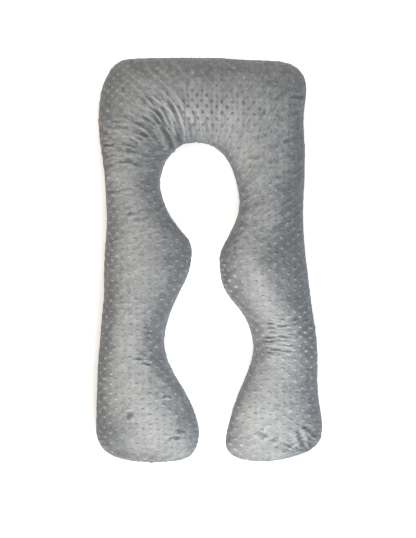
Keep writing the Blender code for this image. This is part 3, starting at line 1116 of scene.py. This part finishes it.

# %% [markdown]
# ## Painted light and shade
# Light and shade are painted into the plush's grey here. One table paints the
# bright line of light along the crest of the tube, rib by rib, with painted
# shade beside it, and a second one places soft ovals of painted light and
# shade. The steep flanks get painted shade, the hollows of the creases get
# painted shade too, and on a slope painted light changes with the way the
# slope faces. A soft limit keeps the darkest places from going flat. The
# result is stored on the points. A crest row's crest and width are shares of
# the way from crown to seam. A patch has its place and reach in millimetres
# and its turn in degrees.

# %% Painted light and shade
# Painted shade on the flanks and in the hollows, painted light on slopes that face the lower left.
FLANK_SHADE = 0.80
SHADE_KNEE = -0.25
SHADE_ROOM = 0.20
HOLLOW_SHADE = 0.30
HOLLOW_DEPTH = 4.0
SLOPE_PAINTED_LIGHT = 0.10
PAINTED_LIGHT_WAY = (-0.35, -0.94, 0.0)
FACE_FROM = 50 * MM
FACE_FADE = 30 * MM
CrestLight = namedtuple("CrestLight", "rib crest width gain base")
# painted highlight along the crest of the tube, rib by rib, and painted shade beside it
PAINTED_CREST_LIGHT = (
    CrestLight(0, -0.10, 0.60, 0.25, -0.22),
    CrestLight(4, -0.10, 0.50, 0.38, -0.28),
    CrestLight(5, 0.20, 0.60, 0.30, -0.22),
    CrestLight(6, 0.10, 0.40, 0.45, -0.36),
    CrestLight(7, 0.15, 0.50, 0.35, -0.36),
    CrestLight(9, 0.30, 0.50, 0.45, -0.38),
    CrestLight(11, 0.20, 0.50, 0.30, -0.32),
    CrestLight(13, 0.50, 0.50, 0.35, -0.36),
    CrestLight(15, 0.20, 0.60, 0.15, -0.30),
    CrestLight(18, -0.40, 0.60, 0.15, -0.26),
    CrestLight(22, -0.40, 0.60, 0.15, -0.30),
    CrestLight(25, -0.50, 0.50, 0.20, -0.32),
    CrestLight(27, -0.45, 0.40, 0.25, -0.36),
    CrestLight(29, -0.35, 0.40, 0.30, -0.38),
    CrestLight(30, -0.40, 0.40, 0.42, -0.38),
    CrestLight(31, -0.15, 0.35, 0.48, -0.32),
    CrestLight(32, -0.10, 0.40, 0.38, -0.30),
    CrestLight(33, -0.45, 0.60, 0.30, -0.26),
    CrestLight(35, -0.50, 0.70, 0.28, -0.22),
    CrestLight(38, -0.20, 0.80, 0.15, -0.15),
)
Patch = namedtuple("Patch", "x y reach_x reach_y turn shade")
# painted light and shade: soft ovals that lighten or darken the plush
PATCHES = (
    # round the open neck
    Patch(-30, 404, 75, 34, 0, 0.55),
    Patch(95, 345, 34, 85, 18, 0.32),
    Patch(-178, 330, 30, 100, 0, -0.10),
    Patch(-158, 420, 30, 50, 38, -0.24),
    Patch(-185, 522, 30, 26, 0, 0.26),
    Patch(135, 390, 35, 35, 0, 0.14),
    Patch(-90, 470, 64, 52, 0, 0.54),
    Patch(60, 470, 70, 50, 0, 0.16),
    # head and shoulders
    Patch(-285, 684, 60, 26, 0, -0.16),
    Patch(40, 655, 80, 45, 0, -0.14),
    Patch(250, 570, 45, 35, 0, -0.13),
    Patch(268, 440, 30, 50, 0, 0.18),
    Patch(318, 385, 20, 60, 0, -0.16),
    Patch(-300, 415, 60, 28, 0, 0.15),
    Patch(-325, 262, 40, 30, 0, 0.15),
    # left leg and foot
    Patch(-345, 50, 30, 70, 0, -0.06),
    Patch(-95, 20, 38, 75, 0, -0.08),
    Patch(-200, 110, 35, 25, 0, 0.10),
    Patch(-165, -75, 30, 35, 0, 0.12),
    Patch(-225, -355, 35, 30, 0, 0.12),
    Patch(-100, -620, 32, 24, 0, 0.14),
    Patch(-350, -180, 30, 80, 0, -0.08),
    Patch(-180, -290, 28, 55, 0, -0.10),
    Patch(-345, -600, 50, 45, 0, -0.14),
    Patch(-95, -550, 28, 50, 0, -0.18),
    Patch(-92, -668, 45, 24, 0, 0.30),
    Patch(-230, -650, 100, 30, 0, -0.08),
    # right leg and foot
    Patch(300, 200, 34, 95, 0, -0.22),
    Patch(208, 160, 36, 80, 10, 0.18),
    Patch(240, 15, 62, 42, 20, -0.18),
    Patch(172, -72, 24, 70, 32, 0.28),
    Patch(315, -190, 24, 55, 0, -0.15),
    Patch(108, -100, 24, 30, 0, -0.15),
    Patch(160, -540, 85, 55, 0, 0.12),
    Patch(92, -625, 36, 26, 0, -0.14),
    Patch(245, -672, 65, 22, 0, 0.32),
    Patch(290, -590, 45, 40, 0, 0.12),
    Patch(158, -361, 20, 35, 0, 0.12),
    Patch(338, -50, 22, 50, 0, 0.16),
    Patch(270, 313, 30, 30, 0, 0.14),
)


def painted_crest_light(ribs, across):
    """Return the painted highlight along the tube's crest and the painted shade beside it."""
    rows = np.array(PAINTED_CREST_LIGHT)
    crest, width, gain, base = (np.interp(ribs, rows[:, 0], column) for column in rows.T[1:])
    return base + gain * np.exp(-(((across - crest) / width) ** 2))


def patch_shade(points, patches):
    """Return the shade of the soft oval patches of a table."""
    total = np.zeros(len(points))
    for patch in patches:
        turn = math.radians(patch.turn)
        x = points[:, 0] - patch.x * MM
        y = points[:, 1] - patch.y * MM
        along_patch = (x * math.cos(turn) + y * math.sin(turn)) / (patch.reach_x * MM)
        across_patch = (y * math.cos(turn) - x * math.sin(turn)) / (patch.reach_y * MM)
        total += patch.shade * np.exp(-(along_patch**2) - across_patch**2)
    return total


def cover_shade():
    """Return the painted light and shade of the cover's points: crest light, patches, flanks, hollows and
    slopes.
    """
    points = read_points(cover.data)
    place = read_attribute(cover.data, "place", 3)
    upper = smooth_step((points[:, 2] - FACE_FROM) / FACE_FADE)
    line = painted_crest_light(read_attribute(cover.data, "rib"), place[:, 2])
    shade = upper * (line + patch_shade(points, PATCHES))
    facing_up = np.clip(read_normals(cover.data)[:, 2], 0, 1)
    # painted shade on the flanks, more the further they turn from straight up
    shade = shade - FLANK_SHADE * (1 - facing_up)
    below_knee = np.minimum(shade - SHADE_KNEE, 0)
    shade = np.maximum(shade, SHADE_KNEE) + SHADE_ROOM * np.tanh(below_knee / SHADE_ROOM)
    # painted shade in the hollows and painted light on slopes that face the lower left
    bent = (read_normals(cover.data) - smooth_normals) @ np.array(PAINTED_LIGHT_WAY)
    return shade - HOLLOW_SHADE * np.tanh(hollow / HOLLOW_DEPTH) + SLOPE_PAINTED_LIGHT * bent


def store_value(thing, name, values):
    """Store one value for each of an object's points."""
    attribute = thing.data.attributes.new(name, "FLOAT", "POINT")
    attribute.data.foreach_set("value", values.astype(np.float32))


shade_on_cover = cover_shade()
store_value(cover, "stroked", shade_on_cover)
store_value(cover, "rippled", rippled)
print("stroked shade from", round(shade_on_cover.min(), 2), "to", round(shade_on_cover.max(), 2))

# %% [markdown]
# ## Two materials
# The cover and its dots are the same plush, with the same sheen. The painted
# light and shade stored on the points and the lean of the pile pick a grey
# between a dark and a light one. The dots' light grey is lighter, to paint
# the light that the raised domes catch, and they have no ring of painted
# shade and no streaks.

# %% Materials
PLUSH_DARK = (0.096, 0.104, 0.110, 1.0)
PLUSH_LIGHT = (0.368, 0.376, 0.363, 1.0)
DOT_DARK = (0.090, 0.098, 0.104, 1.0)
# painted light: lighter than the cover's light grey, for the light the domes catch
DOT_LIGHT = (0.450, 0.459, 0.446, 1.0)
PILE_SIZE = 0.0032
LEAN_RANGE = (("From Min", 0.32), ("From Max", 0.68), ("To Min", 0.31), ("To Max", 0.69))
# painted shade in a ring round each dot
DOT_RING_SHADE = -0.06
STREAK_DEPTH = 6 * MM


def grouped(tree, group, *links):
    """Add a shader group to a material and return its output."""
    return result_of(tree, "ShaderNodeGroup", *links, node_tree=group)


def plush_material(name, dark, light, pile_height, lies_down):
    """Return plush, with a ring of painted shade round each dot and streaks where the pile lies down."""
    material = bpy.data.materials.new(name)
    material.use_nodes = True
    tree = material.node_tree
    shader = tree.nodes["Principled BSDF"]
    here = tree.nodes.new("ShaderNodeTexCoord").outputs["Object"]
    fuzz = grouped(tree, pile, ("Vector", here), ("Size", PILE_SIZE))
    tube, streaks, near_dot = here, 0.0, 0.0
    if lies_down:
        tube = result_of(tree, "ShaderNodeUVMap", uv_map="tube")
        flat = result_of(tree, "ShaderNodeUVMap", uv_map="panel")
        streaks = node(tree, "ShaderNodeAttribute", attribute_name="rippled").outputs["Fac"]
        near_dot = grouped(tree, dot_ring, ("Flat", flat))
    tone_shift = grouped(tree, lean, ("Place", tube), ("Vector", here), ("Streaks", streaks))
    stroked = node(tree, "ShaderNodeAttribute", attribute_name="stroked").outputs["Fac"]
    level = result_of(tree, "ShaderNodeMapRange", ("Value", tone_shift), *LEAN_RANGE, clamp=False)
    level = result_of(tree, "ShaderNodeMath", (0, level), (1, stroked), operation="ADD")
    ring_links = ((0, near_dot), (1, DOT_RING_SHADE), (2, level))
    level = result_of(tree, "ShaderNodeMath", *ring_links, operation="MULTIPLY_ADD", use_clamp=True)
    greys = ((0, level), (6, dark), (7, light))
    colour = node(tree, "ShaderNodeMix", *greys, data_type="RGBA").outputs[2]
    tree.links.new(colour, shader.inputs["Base Color"])
    bump = result_of(tree, "ShaderNodeBump", ("Height", fuzz), ("Strength", 1.0), ("Distance", pile_height))
    if lies_down:
        streak_bump = (("Strength", 1.0), ("Distance", STREAK_DEPTH), ("Normal", bump))
        bump = result_of(tree, "ShaderNodeBump", ("Height", tone_shift), *streak_bump)
    tree.links.new(bump, shader.inputs["Normal"])
    shader.inputs["Roughness"].default_value = 0.85
    shader.inputs["Sheen Weight"].default_value = 0.25
    shader.inputs["Sheen Roughness"].default_value = 0.45
    shader.inputs["Specular IOR Level"].default_value = 0.25
    return material


cover_plush = plush_material("plush_cover", PLUSH_DARK, PLUSH_LIGHT, pile_height=2.2 * MM, lies_down=True)
dot_plush = plush_material("plush_dots", DOT_DARK, DOT_LIGHT, pile_height=1.0 * MM, lies_down=False)
cover.data.materials.append(cover_plush)
print("materials:", cover_plush.name, dot_plush.name)

# %% [markdown]
# ## Stand the dots on the cover
# The layout group runs twice, once over the face and once over the underside
# of the flat pattern. Each result is kept as a plain mesh. A dot takes part of
# the painted shade of the plush it stands on, a third table has its own
# patches of painted light and shade, and each dot gets painted light on its
# side towards the lower left and painted shade on the other.

# %% Place the dots
# Painted light and shade on the dots: an offset, a share of the cover's painted shade, and a lit side.
DOT_SHADE = -0.14
DOT_FOLLOW = 0.42
DOT_PAINTED_LIGHT = 0.16
DOT_PATCHES = (
    # painted shade on the marks above the open neck, painted light on those along the edges
    Patch(-35, 495, 120, 85, 0, -0.36),
    Patch(110, 515, 110, 45, 0, -0.16),
    Patch(-320, 640, 70, 60, 0, 0.06),
    Patch(-355, 150, 35, 450, 0, 0.10),
    Patch(280, 330, 90, 270, 0, -0.14),
    Patch(80, -90, 55, 70, 0, 0.20),
    Patch(250, -270, 115, 100, 0, 0.20),
    Patch(90, -630, 60, 45, 0, 0.22),
    Patch(-355, -450, 40, 200, 0, 0.12),
)


def stand_dots(name, panel_offset, seed):
    """Run the dot layout over one panel and keep the result as a plain mesh."""
    carrier = bpy.data.objects.new(name, cover.data)
    bpy.context.scene.collection.objects.link(carrier)
    layout = carrier.modifiers.new("dots", "NODES")
    layout.node_group = dot_layout
    settings = {
        "Dot": one_dot,
        "Material": dot_plush,
        "Pitch Across": DOT_PITCH_ACROSS,
        "Pitch Along": DOT_PITCH_ALONG,
        "Panel Offset": panel_offset,
        "Seam Clearance": SEAM_CLEARANCE,
        "Jitter": DOT_JITTER,
        "Seed": seed,
    }
    for item in dot_layout.interface.items_tree:
        if item.in_out == "INPUT" and item.name in settings:
            layout[item.identifier] = settings[item.name]
    graph = bpy.context.evaluated_depsgraph_get()
    carrier.data = bpy.data.meshes.new_from_object(carrier.evaluated_get(graph))
    carrier.data.name = name
    carrier.modifiers.clear()
    # painted shade from the cover under each dot, painted patches, and painted light on the side facing the
    # lower left
    beneath = [cover_tree.find_nearest(Vector(point))[2] for point in read_points(carrier.data)]
    under_dot = shade_on_cover[cover_corners[beneath]].mean(axis=1)
    own = patch_shade(read_points(carrier.data), DOT_PATCHES)
    tone_shift = DOT_PAINTED_LIGHT * read_normals(carrier.data) @ np.array(PAINTED_LIGHT_WAY)
    store_value(carrier, "stroked", DOT_SHADE + DOT_FOLLOW * under_dot + own + tone_shift)
    print(name, "has", len(carrier.data.polygons) // len(one_dot.data.polygons), "dots")
    return carrier


cover_corners = np.empty(len(cover.data.polygons) * 4, dtype=np.int32)
cover.data.polygons.foreach_get("vertices", cover_corners)
cover_corners = cover_corners.reshape(-1, 4)
cover_tree = BVHTree.FromPolygons(read_points(cover.data).tolist(), cover_corners.tolist())
face_dots = stand_dots("dots_on_face", 0.0, 4)
underside_dots = stand_dots("dots_on_underside", UNDERSIDE_OFFSET, 5)
bpy.data.objects.remove(one_dot)

# %% [markdown]
# ## Floor and light
# The picture's ground is plain white and shadowless. A pale floor that glows a
# little, with seven large soft lights all round, comes close. The lamps differ
# a little in tint, so the grey is a trace warmer or cooler from side to side.

# %% Floor and lights
FLOOR_GLOW = 0.32
FLOOR_REACH = 6.0


def make_floor():
    """Lay a pale floor under the pillow."""
    mesh = bpy.data.meshes.new("floor")
    corners = [(x * FLOOR_REACH, y * FLOOR_REACH, 0) for x, y in ((-1, -1), (1, -1), (1, 1), (-1, 1))]
    mesh.from_pydata(corners, [], [(0, 1, 2, 3)])
    floor = bpy.data.objects.new("floor", mesh)
    bpy.context.scene.collection.objects.link(floor)
    material = bpy.data.materials.new("floor_white")
    material.use_nodes = True
    shader = material.node_tree.nodes["Principled BSDF"]
    shader.inputs["Base Color"].default_value = (0.93, 0.93, 0.93, 1.0)
    shader.inputs["Roughness"].default_value = 0.9
    shader.inputs["Specular IOR Level"].default_value = 0.1
    shader.inputs["Emission Color"].default_value = (1.0, 1.0, 1.0, 1.0)
    shader.inputs["Emission Strength"].default_value = FLOOR_GLOW
    mesh.materials.append(material)
    return floor


WARM = (1.0, 0.85, 0.70)
COOL = (0.45, 0.70, 1.0)
PLAIN = (1.0, 1.0, 1.0)
Lamp = namedtuple("Lamp", "name x y height size power colour")
LAMPS = (
    Lamp("left", -1.5, 0.5, 2.2, 1.0, 25.0, WARM),
    Lamp("left_low", -2.0, 0.0, 0.9, 1.0, 10.0, PLAIN),
    Lamp("low_front", 0.2, -1.0, 1.2, 0.8, 25.0, PLAIN),
    Lamp("front_far", 0.0, -2.4, 0.9, 1.0, 20.0, WARM),
    Lamp("right_front", 1.5, -1.9, 2.2, 1.0, 25.0, COOL),
    Lamp("top", 0.2, 0.9, 1.4, 0.8, 17.5, PLAIN),
    Lamp("top_far", 0.0, 2.4, 0.9, 1.0, 10.0, WARM),
)
AIM = (0.0, -0.05, 0.1)
SKY_STRENGTH = 0.03
SKY_COLOUR = (0.97, 0.985, 1.0, 1.0)


def add_lamp(lamp):
    """Hang one square soft light that looks at the pillow."""
    data = bpy.data.lights.new(lamp.name, "AREA")
    data.size = lamp.size
    data.energy = lamp.power
    data.color = lamp.colour
    thing = bpy.data.objects.new(lamp.name, data)
    thing.location = (lamp.x, lamp.y, lamp.height)
    away = thing.location - Vector(AIM)
    thing.rotation_euler = away.to_track_quat("Z", "Y").to_euler()
    bpy.context.scene.collection.objects.link(thing)


floor = make_floor()
for lamp in LAMPS:
    add_lamp(lamp)
world = bpy.data.worlds.new("world")
world.use_nodes = True
sky = world.node_tree.nodes["Background"].inputs
sky["Color"].default_value = SKY_COLOUR
sky["Strength"].default_value = SKY_STRENGTH
bpy.context.scene.world = world
bpy.context.scene.view_settings.view_transform = "Standard"
print("lights:", [lamp.name for lamp in LAMPS])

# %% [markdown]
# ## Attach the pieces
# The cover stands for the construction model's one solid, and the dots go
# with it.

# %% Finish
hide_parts("pillow")
for piece in (cover, face_dots, underside_dots):
    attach(piece, "root")
bpy.context.view_layer.update()
